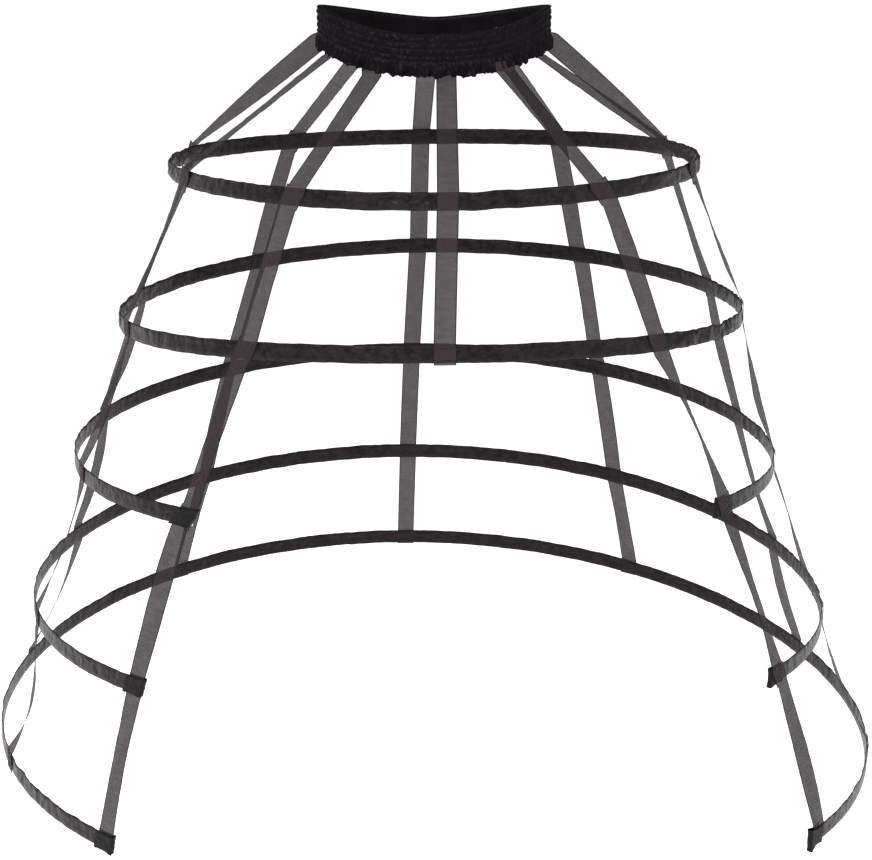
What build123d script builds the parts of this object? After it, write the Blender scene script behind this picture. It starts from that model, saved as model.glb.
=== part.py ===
from build123d import *
from dataclasses import dataclass
from math import cos, hypot, radians, sin, sqrt
import os

os.makedirs("parts", exist_ok=True)

# Crinoline cage: five boned hoops hung on ten ribbon straps from a gathered elastic waistband.
# Origin: middle of the waist opening, level with the band's two upper corners.
# +Z is up, the wearer's front faces -Y. A bearing is measured in degrees from the front
# centre, positive towards +X, so 90 is the +X side and 180 is the centre back.

# ---- waistband ------------------------------------------------------------------------
WAIST_WIDTH = 286.0  # corner to corner, over the cover
WAIST_DEPTH = 100.0  # front to back, over the cover
BAND_HEIGHT = 34.0  # shirred part, above the ruffle's seam
BAND_THICKNESS = 5.0
RUFFLE_HEIGHT = 19.0
RUFFLE_STAND = 5.0  # how far the ruffle's folds stand out from the band
FRONT_DIP = 31.0  # the top edge hangs this far below the corners at the front
BACK_DIP = 20.0
ELASTIC_HEIGHT = 26.0
ELASTIC_THICKNESS = 1.2
ELASTIC_CLEARANCE = 0.3

# ---- hoops ----------------------------------------------------------------------------
CASING_HEIGHT = 21.0
CASING_THICKNESS = 3.2
CASING_WALL = 0.5
BONE_HEIGHT = 8.0
BONE_THICKNESS = 0.6
BONE_CLEARANCE = 0.3  # under the sleeves and tips, to the casing's floor
BONE_FIT = 0.1  # all round the bone, inside its sleeves and tips
SLEEVE_LENGTH = 30.0  # crimped over the meeting ends of a closed hoop's bone
SLEEVE_WALL = 0.4
TIP_LENGTH = 12.0
TIP_SETBACK = 4.0  # from the casing's end to the bone tip's end
END_PATCH_CLOTH = 0.8
END_PATCH_HEIGHT = 22.0

# ---- straps ---------------------------------------------------------------------------
STRAP_WIDTH = 25.0
STRAP_THICKNESS = 0.5
STRAP_CLEARANCE = 0.2
STRAP_SEAM_ALLOWANCE = 12.0  # length caught inside the waistband above the ruffle's seam
STRAP_TURN = 6.0  # straps leave from under the ruffle this far below its hem
STRAP_STUB = 2.0  # length left below the last hoop
TACK_HEIGHT = 13.0  # folded end of the front centre strap, on hoop 2
TACK_THICKNESS = 1.2
STRAP_TURN_STEP = 0.6  # degrees that the ribbon turns in one step between two hoops
CROSSING_STEP = 1.5  # degrees that a slanted crossing goes round the casing in one step
WIDEST_CROSSING = 1.3  # most that a slanted ribbon may spread along a casing, in strap widths
SIDE_BACK_ROLL = 40.0  # degrees that the side back straps roll towards the front, near the band
SIDE_BACK_ROLL_IN = 20.0  # length over which they do

# ---- open ends, past the end strap's middle ---------------------------------------------
CASING_PAST_STRAP = {"left": STRAP_WIDTH / 2 + 0.8, "right": STRAP_WIDTH / 2 + 5}
END_PATCH_LENGTH = STRAP_WIDTH + 4


@dataclass
class Hoop:
    """One hoop: a circle, leaned and dished a little by the way the straps carry it."""

    radius: float
    drop: float  # below the waist's corners
    shift: tuple = (0.0, 0.0)
    right_rise: float = 0.0  # how much higher the +X side hangs than the middle
    back_rise: float = 0.0
    dish: float = 0.0  # front and back ride this much high, the sides as much low
    open_from: float = 0.0  # bearings of the two end straps of a hoop open at the front
    open_to: float = 0.0

    @property
    def plane(self):
        slope_x, slope_y = self.right_rise / self.radius, self.back_rise / self.radius
        origin = (self.shift[0], self.shift[1], -self.drop)
        return Plane(origin=origin, x_dir=(1, 0, slope_x), z_dir=(-slope_x, -slope_y, 1))

    @property
    def is_open(self):
        return self.open_to != self.open_from

    def turn(self, length):
        """Bearing change, in degrees, that covers a length along the hoop."""
        return length / radians(self.radius)

    def point(self, bearing, out=0.0, up=0.0):
        angle, reach = radians(bearing), self.radius + out
        height = self.dish * cos(2 * angle) + up
        return self.plane.from_local_coords((reach * sin(angle), -reach * cos(angle), height))


HOOPS = [
    Hoop(radius=329, drop=196, shift=(0, -3), right_rise=3, back_rise=-14, dish=-3),
    Hoop(radius=394, drop=374, shift=(-4, 4), right_rise=3, back_rise=-18, dish=10),
    Hoop(
        radius=449, drop=556, shift=(-12, 3), right_rise=-5, back_rise=-4, dish=9,
        open_from=52, open_to=-37.6,
    ),
    Hoop(
        radius=511, drop=741, shift=(-7, -13), right_rise=-12, back_rise=8, dish=12,
        open_from=54.5, open_to=-41.3,
    ),
    Hoop(
        radius=572, drop=921, shift=(2, 3), right_rise=-21, back_rise=25, dish=11,
        open_from=53.4, open_to=-42.3,
    ),
]

# Strap: bearing at the waist, then where it meets the top edge of each casing that it is sewn
# to and where it leaves the bottom edge: the straps cross the casings at a slant.
STRAPS = {
    "front_centre": (6.3, ((2.6, 2.5), (2.2, 2.2))),
    "front_left": (-34, ((-28, -30.4), (-31.5, -33.4), (-37.6, -37.6), (-41.3, -41.3), (-42.3, -42.3))),
    "front_right": (36, ((33.9, 37.3), (40.7, 42.4), (51.2, 52.7), (53.6, 55.5), (53.4, 53.4))),
    "side_front_left": (-81, ((-63, -66), (-70, -70), (-70, -70), (-73, -73), (-69, -69))),
    "side_front_right": (82, ((69, 73), (81, 81), (81, 81), (81, 81), (81, 81))),
    "side_back_left": (-118, ((-110, -106), (-105, -105), (-106, -106), (-109, -109), (-102, -102))),
    "side_back_right": (116, ((115.5, 112.5), (111.5, 109.4), (109.9, 108.6), (111.2, 110.4),
                              (114.7, 114.7))),
    "back_left": (-136, ((-146.1, -143.1), (-142.5, -141.8), (-141.5, -140.6), (-140.3, -139.3),
                         (-137.9, -137.9))),
    "back_right": (140.5, ((149.8, 148.7), (148.5, 147.2), (146.5, 145.6), (147.6, 147), (148.6, 148.6))),
    "back_centre": (-176.2, ((-177.1, -176.8), (-177.5, -177.2), (-177.5, -177.4), (-176.4, -176.4),
                             (-175.3, -175.3))),
}
OVER_THE_RUFFLE = ("front_right",)  # laid down over it
BESIDE_THE_RUFFLE = ("side_back_left", "side_back_right")  # straight out from its seam
# the others leave from under its hem
END_STRAPS = {"front_left": "left", "front_right": "right"}  # they close the open hoops' ends

# The casing's folded end wraps the strap at these ends, where the strap runs straight down; at
# the others the strap lies over it.
WRAPPED_ENDS = ((3, "left"), (4, "left"), (5, "left"), (5, "right"))

REACH = 60.0  # taller than any hoop or band, for the shapes that are cut to height


def standing_band(hoop, thickness, height, up=0.0):
    """A closed band on edge round a hoop's circle, its edges dished with the hoop."""
    far = hoop.radius + thickness
    ends, middle = hoop.dish * 2 * (far / hoop.radius) ** 2 - hoop.dish + up, up - hoop.dish
    with BuildPart(mode=Mode.PRIVATE) as band:
        add(upright_ring(hoop, hoop.radius - thickness / 2, hoop.radius + thickness / 2))
        with BuildSketch(Plane(hoop.plane.origin, x_dir=hoop.plane.y_dir, z_dir=hoop.plane.x_dir)):
            with BuildLine():
                top = ThreePointArc(
                    (-far, ends + height / 2), (0, middle + height / 2), (far, ends + height / 2)
                )
                bottom = ThreePointArc(
                    (-far, ends - height / 2), (0, middle - height / 2), (far, ends - height / 2)
                )
                Line(top @ 0, bottom @ 0)
                Line(top @ 1, bottom @ 1)
            make_face()
        extrude(amount=far, both=True, mode=Mode.INTERSECT)
    return band.part


def sector(hoop, start, end):
    """A tall slice of the hoop's plane from one bearing round to another, under 180 apart."""
    far = 2.5 * hoop.radius
    with BuildPart(mode=Mode.PRIVATE) as slice_:
        with BuildSketch(hoop.plane.offset(-REACH)):
            middle = (start + end) / 2
            with BuildLine():
                Polyline(
                    (0, 0),
                    *[(far * sin(radians(a)), -far * cos(radians(a))) for a in (start, middle, end)],
                    close=True,
                )
            make_face()
        extrude(amount=2 * REACH)
    return slice_.part


def upright_ring(hoop, inner, outer):
    """A tall ring that stands on the hoop's plane."""
    with BuildPart(mode=Mode.PRIVATE) as ring:
        with BuildSketch(hoop.plane.offset(-REACH)):
            Circle(outer)
            Circle(inner, mode=Mode.SUBTRACT)
        extrude(amount=2 * REACH)
    return ring.part


def end_bearing(hoop, side, short_by=0.0):
    """Bearing of an open hoop's end, or of a point a little short of the casing's end."""
    past_strap = hoop.turn(CASING_PAST_STRAP[side] - short_by)
    return hoop.open_to + past_strap if side == "left" else hoop.open_from - past_strap


def front_gap(hoop, short_by=0.0):
    """The front sector that an open hoop lacks, or nothing for a closed one."""
    if not hoop.is_open:
        return None
    return sector(hoop, end_bearing(hoop, "left", short_by), end_bearing(hoop, "right", short_by))


def casing(hoop):
    """Satin tape folded to a flat tube and stitched along its edge."""
    inside = CASING_THICKNESS - 2 * CASING_WALL
    with BuildPart() as tape:
        add(standing_band(hoop, CASING_THICKNESS, CASING_HEIGHT))
        add(standing_band(hoop, inside, CASING_HEIGHT - 2 * CASING_WALL), mode=Mode.SUBTRACT)
        gap = front_gap(hoop)
        if gap:
            add(gap, mode=Mode.SUBTRACT)
    return tape


def bone_level():
    """Height of the bone's middle: its sleeves and tips just clear the casing's floor."""
    floor = CASING_WALL - CASING_HEIGHT / 2
    return floor + BONE_CLEARANCE + SLEEVE_WALL + BONE_FIT + BONE_HEIGHT / 2


def bone(hoop):
    """Flat spring-steel strip, on edge inside the casing."""
    with BuildPart() as strip:
        add(standing_band(hoop, BONE_THICKNESS, BONE_HEIGHT, bone_level()))
        gap = front_gap(hoop, TIP_SETBACK + SLEEVE_WALL + BONE_FIT)
        if gap:
            add(gap, mode=Mode.SUBTRACT)
    return strip


def round_the_bone(hoop, skin):
    """A band that follows the bone, larger than it by a skin on every side."""
    return standing_band(hoop, BONE_THICKNESS + 2 * skin, BONE_HEIGHT + 2 * skin, bone_level())


def joining_sleeve(hoop, bearing):
    """A short crimped tube over the two ends of a closed hoop's bone."""
    half = hoop.turn(SLEEVE_LENGTH / 2)
    with BuildPart() as tube:
        add(round_the_bone(hoop, BONE_FIT + SLEEVE_WALL))
        add(round_the_bone(hoop, BONE_FIT), mode=Mode.SUBTRACT)
        add(sector(hoop, bearing - half, bearing + half), mode=Mode.INTERSECT)
    return tube


def end_piece(hoop, side, short_by, length):
    """Sector over an open hoop's end: from a point near the casing's end, back round the hoop."""
    end = end_bearing(hoop, side, short_by)
    back = hoop.turn(length) if side == "right" else -hoop.turn(length)
    return sector(hoop, min(end, end + back), max(end, end + back))


def tip(hoop, side):
    """Dipped cap on the end of an open hoop's bone."""
    with BuildPart() as cap:
        add(round_the_bone(hoop, BONE_FIT + SLEEVE_WALL))
        add(end_piece(hoop, side, TIP_SETBACK, TIP_LENGTH), mode=Mode.INTERSECT)
        with BuildPart(mode=Mode.PRIVATE) as socket:
            add(round_the_bone(hoop, BONE_FIT))
            add(end_piece(hoop, side, TIP_SETBACK + SLEEVE_WALL, 2 * TIP_LENGTH), mode=Mode.INTERSECT)
        add(socket.part, mode=Mode.SUBTRACT)
    return cap


def patch_room(number, side):
    """Room between the casing and the end patch's outer leaf: the strap runs there if wrapped."""
    if (number, side) in WRAPPED_ENDS:
        return STRAP_THICKNESS + 2 * STRAP_CLEARANCE
    return STRAP_CLEARANCE


def end_patch(number, side):
    """Square of doubled satin folded round the open end of a casing, open above and below."""
    hoop = HOOPS[number - 1]
    inner = hoop.radius - CASING_THICKNESS / 2 - STRAP_CLEARANCE
    outer = hoop.radius + CASING_THICKNESS / 2 + patch_room(number, side)
    with BuildPart() as patch:
        add(standing_band(hoop, 4 * CASING_THICKNESS, END_PATCH_HEIGHT))
        add(upright_ring(hoop, inner - END_PATCH_CLOTH, outer + END_PATCH_CLOTH), mode=Mode.INTERSECT)
        folded = end_piece(hoop, side, -STRAP_CLEARANCE - END_PATCH_CLOTH, END_PATCH_LENGTH)
        add(folded, mode=Mode.INTERSECT)
        with BuildPart(mode=Mode.PRIVATE) as room:
            add(upright_ring(hoop, inner, outer))
            add(end_piece(hoop, side, -STRAP_CLEARANCE, 2 * END_PATCH_LENGTH), mode=Mode.INTERSECT)
        add(room.part, mode=Mode.SUBTRACT)
    return patch


def dip(x, lowest):
    """Height of the waistband's edge at x, for a band that hangs by its corners."""
    return -lowest * (1 - (2 * x / WAIST_WIDTH) ** 2)


def oval_wall(inset, thickness, top, height):
    """An oval wall that follows the waist, set in from the cover, dipping front and back."""
    outer_x, outer_y = WAIST_WIDTH / 2 - inset, WAIST_DEPTH / 2 - inset
    far = WAIST_WIDTH / 2 + RUFFLE_STAND + 1
    with BuildPart(mode=Mode.PRIVATE) as wall:
        for lowest, towards in ((FRONT_DIP, -1), (BACK_DIP, 1)):
            with BuildSketch(Plane((0, 0, 0), x_dir=(1, 0, 0), z_dir=(0, -1, 0))):
                with BuildLine():
                    rim = ThreePointArc((-far, dip(far, lowest) + top), (0, top - lowest),
                                        (far, dip(far, lowest) + top))
                    hem = ThreePointArc((-far, dip(far, lowest) + top - height),
                                        (0, top - lowest - height),
                                        (far, dip(far, lowest) + top - height))
                    Line(rim @ 0, hem @ 0)
                    Line(rim @ 1, hem @ 1)
                make_face()
            extrude(amount=-towards * WAIST_DEPTH)
        with BuildPart(mode=Mode.PRIVATE) as ring:
            with BuildSketch(Plane.XY.offset(-2 * REACH)):
                Ellipse(outer_x, outer_y)
                Ellipse(outer_x - thickness, outer_y - thickness, mode=Mode.SUBTRACT)
            extrude(amount=4 * REACH)
        add(ring.part, mode=Mode.INTERSECT)
    return wall.part


def waistband_cover():
    """Satin tube shirred over the elastic, with its ruffle below the last row of stitches."""
    pocket = ELASTIC_THICKNESS + 2 * ELASTIC_CLEARANCE
    pocket_height = ELASTIC_HEIGHT + 2 * ELASTIC_CLEARANCE
    inset, top = (BAND_THICKNESS - pocket) / 2, (pocket_height - BAND_HEIGHT) / 2
    with BuildPart() as cover:
        add(oval_wall(0, BAND_THICKNESS, 0, BAND_HEIGHT))
        add(oval_wall(-RUFFLE_STAND, BAND_THICKNESS + RUFFLE_STAND, -BAND_HEIGHT, RUFFLE_HEIGHT))
        add(oval_wall(inset, pocket, top, pocket_height), mode=Mode.SUBTRACT)
    return cover


def waistband_elastic():
    """Woven elastic, sealed in the cover."""
    inset, top = (BAND_THICKNESS - ELASTIC_THICKNESS) / 2, (ELASTIC_HEIGHT - BAND_HEIGHT) / 2
    with BuildPart() as elastic:
        add(oval_wall(inset, ELASTIC_THICKNESS, top, ELASTIC_HEIGHT))
    return elastic


def waist_section(bearing, out, height):
    """Place of a strap at the waist: middle and crosswise direction, on an oval set out."""
    angle = radians(bearing)
    half_x, half_y = WAIST_WIDTH / 2 + out, WAIST_DEPTH / 2 + out
    lowest = FRONT_DIP if cos(angle) > 0 else BACK_DIP
    x, y = half_x * sin(angle), -half_y * cos(angle)
    middle = Vector(x, y, dip(x, lowest) + height)
    return middle, Vector(half_x * cos(angle), half_y * sin(angle), 0).normalized()


def oval_sagitta(bearing, out):
    """How far a flat strap's edges stand off its middle, laid in the oval set out."""
    angle = radians(bearing)
    half_x, half_y = WAIST_WIDTH / 2 + out, WAIST_DEPTH / 2 + out
    bend = hypot(half_x * cos(angle), half_y * sin(angle)) ** 3 / (half_x * half_y)
    return bend - sqrt(bend**2 - STRAP_WIDTH**2 / 4)


def hoop_section(hoop, bearing, out, up):
    """Place of a strap on a hoop: middle and crosswise direction."""
    angle = radians(bearing)
    along = hoop.plane.x_dir * cos(angle) + hoop.plane.y_dir * sin(angle)
    return hoop.point(bearing, out, up), along.normalized()


def spread(across, run):
    """Width of a section taken aslant, so that the ribbon keeps its own width square to its run."""
    square = across.cross(run.normalized()).length
    return min(STRAP_WIDTH / square, WIDEST_CROSSING * STRAP_WIDTH)


def rolled(run, bearing):
    """Crosswise direction of a side back strap that has rolled towards the front."""
    level = Vector(0, 0, 1).cross(run).normalized()
    lift = (Vector(0, 0, 1) - run * run.Z).normalized()
    towards = 1 if bearing < 0 else -1
    return level * cos(radians(SIDE_BACK_ROLL)) + lift * (towards * sin(radians(SIDE_BACK_ROLL)))


def strap_start(name, first_crossing):
    """Sections of a strap at the waistband: middle, crosswise direction and width."""
    waist = STRAPS[name][0]
    half = STRAP_THICKNESS / 2
    level = STRAP_CLEARANCE - BAND_HEIGHT
    outside = RUFFLE_STAND + STRAP_CLEARANCE + half
    inside = -BAND_THICKNESS - STRAP_CLEARANCE - half
    inside -= 1.5 * oval_sagitta(waist, inside)
    if name in OVER_THE_RUFFLE:
        start = [waist_section(waist, outside, level), waist_section(waist, outside, level - RUFFLE_HEIGHT)]
    elif name in BESIDE_THE_RUFFLE:
        middle, across = waist_section(waist, outside, level)
        run = (first_crossing - middle).normalized()
        start = [(middle, across), (middle + run * SIDE_BACK_ROLL_IN, rolled(run, waist))]
    else:
        start = [
            waist_section(waist, inside, STRAP_SEAM_ALLOWANCE - BAND_HEIGHT),
            waist_section(waist, inside, -BAND_HEIGHT - RUFFLE_HEIGHT - STRAP_TURN),
        ]
    middle, across = start[1]
    return [(*start[0], STRAP_WIDTH), (*start[1], spread(across, first_crossing - middle))]


def strap_lay(name, number, hoop):
    """How far out a strap's middle lies on a casing: more where it also crosses an end patch."""
    out = CASING_THICKNESS / 2 + STRAP_CLEARANCE + STRAP_THICKNESS / 2
    side = END_STRAPS.get(name)
    if side and hoop.is_open and (number, side) not in WRAPPED_ENDS:
        out += STRAP_CLEARANCE + END_PATCH_CLOTH
    return out


def strap_route(name):
    """Sections of a strap, from the waist down to its last hoop."""
    crossings = STRAPS[name][1]
    route = []
    for number, (hoop, (top, bottom)) in enumerate(zip(HOOPS, crossings), start=1):
        out = strap_lay(name, number, hoop)
        above = CASING_HEIGHT / 2 + STRAP_CLEARANCE + 1
        below = CASING_HEIGHT / 2 + (STRAP_STUB if number == len(crossings) else 1)
        steps = 1 + int(abs(bottom - top) / CROSSING_STEP)
        run = hoop.point(bottom, out, -below) - hoop.point(top, out, above)
        for step in range(steps + 1):
            share = step / steps
            bearing, up = top + (bottom - top) * share, above - (above + below) * share
            middle, across = hoop_section(hoop, bearing, out, up)
            route.append((middle, across, spread(across, run)))
    return strap_start(name, route[0][0]) + route


def evenly_turned(route):
    """The route, with steps filled in wherever the ribbon turns from one section to the next."""
    sections = []
    for (middle, across, width), (next_middle, next_across, next_width) in zip(route, route[1:]):
        steps = 1 + int(across.get_angle(next_across) / STRAP_TURN_STEP)
        for step in range(steps):
            share = step / steps
            direction = (across + (next_across - across) * share).normalized()
            place = middle + (next_middle - middle) * share
            sections.append((place, direction, width + (next_width - width) * share))
    return sections + [route[-1]]


def strap(name):
    """Organza ribbon, stitched to the outside of each casing that it crosses."""
    with BuildPart() as ribbon:
        for middle, across, width in evenly_turned(strap_route(name)):
            upright = Vector(0, 0, 1) - across * across.Z
            with BuildSketch(Plane(middle, x_dir=across, z_dir=upright)):
                Rectangle(width, STRAP_THICKNESS)
        loft(ruled=True)
        if name == "front_centre":
            hoop, bearing = HOOPS[1], STRAPS[name][1][1][0]
            out = CASING_THICKNESS / 2 + STRAP_CLEARANCE + TACK_THICKNESS / 2
            middle, across = hoop_section(hoop, bearing, out, -TACK_HEIGHT / 2)
            with BuildSketch(Plane(middle, x_dir=across, z_dir=(0, 0, 1))):
                Rectangle(STRAP_WIDTH, TACK_THICKNESS)
            extrude(amount=TACK_HEIGHT)
    return ribbon


pieces = {"waistband_cover": waistband_cover(), "waistband_elastic": waistband_elastic()}
for number, hoop in enumerate(HOOPS, start=1):
    pieces[f"hoop_{number}_casing"] = casing(hoop)
    pieces[f"hoop_{number}_bone"] = bone(hoop)
    if hoop.is_open:
        for side in ("left", "right"):
            pieces[f"hoop_{number}_tip_{side}"] = tip(hoop, side)
            pieces[f"hoop_{number}_end_patch_{side}"] = end_patch(number, side)
    else:
        pieces[f"hoop_{number}_joining_sleeve"] = joining_sleeve(hoop, 180)
for name in STRAPS:
    pieces[f"strap_{name}"] = strap(name)

for name, piece in pieces.items():
    piece.part.label = name
    export_step(piece.part, f"parts/{name}.step")
    print(name, len(piece.part.solids()), round(piece.part.volume / 1000, 2), "cm3")
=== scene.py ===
import bpy
from math import ceil, cos, exp, hypot, log, pi, radians, sin
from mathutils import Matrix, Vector, noise


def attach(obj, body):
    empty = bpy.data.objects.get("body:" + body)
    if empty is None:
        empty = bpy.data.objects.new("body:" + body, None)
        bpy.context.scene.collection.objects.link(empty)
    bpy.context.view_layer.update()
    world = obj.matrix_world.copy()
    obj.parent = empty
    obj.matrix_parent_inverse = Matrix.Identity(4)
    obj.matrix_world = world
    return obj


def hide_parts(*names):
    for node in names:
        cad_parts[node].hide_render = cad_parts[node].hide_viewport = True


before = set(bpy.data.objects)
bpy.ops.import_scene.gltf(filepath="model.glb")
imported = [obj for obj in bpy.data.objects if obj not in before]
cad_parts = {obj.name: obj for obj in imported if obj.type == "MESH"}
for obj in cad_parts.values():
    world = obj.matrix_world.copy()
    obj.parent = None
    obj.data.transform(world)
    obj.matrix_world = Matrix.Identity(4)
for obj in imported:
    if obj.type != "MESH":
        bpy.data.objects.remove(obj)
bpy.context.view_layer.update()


# ---- Camera --------------------------------------------------------------------------
# A long lens on a tall stand, tipped down at the cage from a little above its waist.
CAMERA_PLACE = (-0.0071, -2.868, 0.2778)
CAMERA_TIP = 16.01  # degrees below level
CAMERA_TURN = 0.19  # degrees to the right of straight ahead
CAMERA_LENS = 94.95

camera = bpy.data.objects.new("camera", bpy.data.cameras.new("camera"))
camera.data.lens = CAMERA_LENS
camera.data.sensor_fit = "HORIZONTAL"
camera.data.sensor_width = 36.0
camera.data.clip_end = 100.0
camera.location = CAMERA_PLACE
camera.rotation_euler = (radians(90 - CAMERA_TIP), 0, radians(-CAMERA_TURN))
bpy.context.scene.collection.objects.link(camera)
bpy.context.scene.camera = camera


# ---- Studio --------------------------------------------------------------------------
# A white paper floor under the hem, a grey room, one softbox high at the front left and two
# wider, weaker ones at the sides, so that black satin shows a soft sheen and no hard edge.
FLOOR_DROP = 1.06  # below the waist's corners: the cage hangs just clear of it
FLOOR_HALF = 40.0
ROOM_WHITE = 0.30
SOFTBOXES = [  # place, size, watts
    ((-1.2, -3.0, 2.2), 1.5, 150),
    ((2.6, -1.6, 1.2), 2.0, 34),
    ((-2.8, 0.8, 1.0), 2.0, 26),
]


class Socket:
    """A node's output: sums written on it add Math nodes to its tree."""

    def __init__(self, tree, output):
        self.tree = tree
        self.output = output

    def sum(self, operation, *values):
        inputs = dict(enumerate(values))
        return self.tree.node("ShaderNodeMath", {"operation": operation}, inputs)

    def __add__(self, other):
        return self.sum("ADD", self, other)

    def __radd__(self, other):
        return self.sum("ADD", other, self)

    def __sub__(self, other):
        return self.sum("SUBTRACT", self, other)

    def __rsub__(self, other):
        return self.sum("SUBTRACT", other, self)

    def __mul__(self, other):
        return self.sum("MULTIPLY", self, other)

    def __rmul__(self, other):
        return self.sum("MULTIPLY", other, self)

    def __truediv__(self, other):
        return self.sum("DIVIDE", self, other)

    def __abs__(self):
        return self.sum("ABSOLUTE", self)

    def wave(self):
        return self.sum("SINE", self)

    def part(self, name):
        """Another output of the same node."""
        return Socket(self.tree, self.output.node.outputs[name])


class Tree:
    """A node tree under construction."""

    def __init__(self, nodes):
        self.nodes = nodes

    def node(self, kind, settings=None, inputs=None, output=0):
        """A node of a kind: its settings first, then its sockets' values or links."""
        made = self.nodes.nodes.new(kind)
        for name, value in (settings or {}).items():
            setattr(made, name, value)
        for name, value in (inputs or {}).items():
            if isinstance(value, Socket):
                self.nodes.links.new(value.output, made.inputs[name])
            else:
                made.inputs[name].default_value = value
        return Socket(self, made.outputs[output]) if len(made.outputs) else None

    def grain(self, place, scale, detail=2.0, roughness=0.5):
        """Soft noise from 0 to 1."""
        sizes = {"Vector": place, "Scale": scale, "Detail": detail, "Roughness": roughness}
        return self.node("ShaderNodeTexNoise", {}, sizes)

    def step(self, value, low, high, to_low=0.0, to_high=1.0):
        """Value carried smoothly from the range low..high to the range to_low..to_high."""
        inputs = {"Value": value, "From Min": low, "From Max": high}
        inputs.update({"To Min": to_low, "To Max": to_high})
        return self.node("ShaderNodeMapRange", {"interpolation_type": "SMOOTHSTEP"}, inputs)

    def tint(self, share, first, second):
        """Colour between two, by share."""
        inputs = {"Factor": share, 6: (*first, 1), 7: (*second, 1)}
        return self.node("ShaderNodeMix", {"data_type": "RGBA"}, inputs, 2)

    def bump(self, height, depth, strength=1.0):
        """Normal of a surface raised by height, which runs from 0 to 1, times depth in metres."""
        inputs = {"Height": height, "Distance": depth, "Strength": strength}
        return self.node("ShaderNodeBump", {}, inputs)


def finish(name, make):
    """A material whose shader is what make(tree) gives as inputs of the main shader."""
    material = bpy.data.materials.new(name)
    material.use_nodes = True
    material.node_tree.nodes.clear()
    tree = Tree(material.node_tree)
    shader = tree.node("ShaderNodeBsdfPrincipled", {}, make(tree))
    tree.node("ShaderNodeOutputMaterial", {}, {"Surface": shader})
    return material


def paper(tree):
    place = tree.node("ShaderNodeTexCoord", {}, {}, "Object")
    fleck = tree.grain(place, 3.0)
    return {
        "Base Color": tree.tint(fleck, (0.80, 0.80, 0.80), (0.83, 0.83, 0.83)),
        "Roughness": 0.9,
        "Emission Color": (1, 1, 1, 1),
        "Emission Strength": 0.8,
    }


corners = [(x * FLOOR_HALF, y * FLOOR_HALF, -FLOOR_DROP) for x, y in ((-1, -1), (1, -1), (1, 1), (-1, 1))]
floor_mesh = bpy.data.meshes.new("floor")
floor_mesh.from_pydata(corners, [], [(0, 1, 2, 3)])
floor_mesh.materials.append(finish("floor_paper", paper))
floor = bpy.data.objects.new("floor", floor_mesh)
bpy.context.scene.collection.objects.link(floor)

for number, (place, size, watts) in enumerate(SOFTBOXES, start=1):
    box = bpy.data.objects.new(f"softbox_{number}", bpy.data.lights.new(f"softbox_{number}", "AREA"))
    box.data.size = size
    box.data.energy = watts
    box.location = place
    aim = Vector((0, 0, -0.45)) - Vector(place)
    box.rotation_euler = aim.to_track_quat("-Z", "Y").to_euler()
    bpy.context.scene.collection.objects.link(box)

room = bpy.data.worlds.new("room")
room.use_nodes = True
room.node_tree.nodes["Background"].inputs["Color"].default_value = (1, 1, 1, 1)
room.node_tree.nodes["Background"].inputs["Strength"].default_value = ROOM_WHITE
bpy.context.scene.world = room
bpy.context.scene.view_settings.view_transform = "Standard"


# ---- Waistband -----------------------------------------------------------------------
# A doubled strip of black satin shirred over wide elastic with rows of elastic stitching,
# its lower edge left free below the last row as a ruffle. It hangs from its two corners.
WAIST_WIDTH = 0.286
WAIST_DEPTH = 0.100
BAND_HEIGHT = 0.034
BAND_THICKNESS = 0.005
RUFFLE_HEIGHT = 0.019
RUFFLE_STAND = 0.005
FRONT_DIP = 0.031
BACK_DIP = 0.020
FRONT_FALL = 2.5  # how round the top edge hangs; nearer 1 it falls straight from the corners
BACK_FALL = 1.35
RUFFLE_REACH = 0.0049  # the ruffle's folds never stand out further from the cover
STITCH_ROWS = (0.0035, 0.0115, 0.0195, 0.0275, 0.034)  # below the rim
BAND_COLUMNS = 1400
# the satin's own black, then the lighter grey of the painted sheen streaks on its gathers
SATIN_BLACK_AND_SHEEN = ((0.0014, 0.0012, 0.0015), (0.0050, 0.0043, 0.0050))


def rumple(point, seed=0.0):
    """Noise from about -1 to 1 that is the same on every run."""
    return 1.7 * noise.noise(Vector(point) + Vector((seed * 7.31, seed * 3.17, seed * 5.73)))


def ease(value, low, high):
    """Smooth step from 0 at low to 1 at high."""
    share = min(1.0, max(0.0, (value - low) / (high - low)))
    return share * share * (3 - 2 * share)


def piece(name, points, faces, uvs, material, smooth=True):
    """A mesh object at the origin. uvs holds one pair for each corner of each face."""
    mesh = bpy.data.meshes.new(name)
    mesh.from_pydata(points, [], faces)
    layer = mesh.uv_layers.new(name="cloth")
    layer.data.foreach_set("uv", [value for pair in uvs for value in pair])
    mesh.materials.append(material)
    mesh.polygons.foreach_set("use_smooth", [smooth] * len(mesh.polygons))
    mesh.update()
    made = bpy.data.objects.new(name, mesh)
    bpy.context.scene.collection.objects.link(made)
    return made


def turned_out(faces, uvs):
    """The same faces wound the other way round, with each corner's place on the cloth."""
    swapped, start = [], 0
    for face in faces:
        swapped += uvs[start:start + len(face)][::-1]
        start += len(face)
    return [face[::-1] for face in faces], swapped


def tube(rows, marks, close_rows=True):
    """Faces of a skin through closed rings, the last ring joined to the first if asked."""
    count, ring = len(rows), len(rows[0])
    points = [point for row in rows for point in row]
    faces, uvs = [], []
    for i in range(count if close_rows else count - 1):
        j = (i + 1) % count
        for k in range(ring):
            n = (k + 1) % ring
            faces.append((i * ring + k, i * ring + n, j * ring + n, j * ring + k))
            uvs += [marks(i, k), marks(i, k + 1), marks(i + 1, k + 1), marks(i + 1, k)]
    return points, faces, uvs


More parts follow.
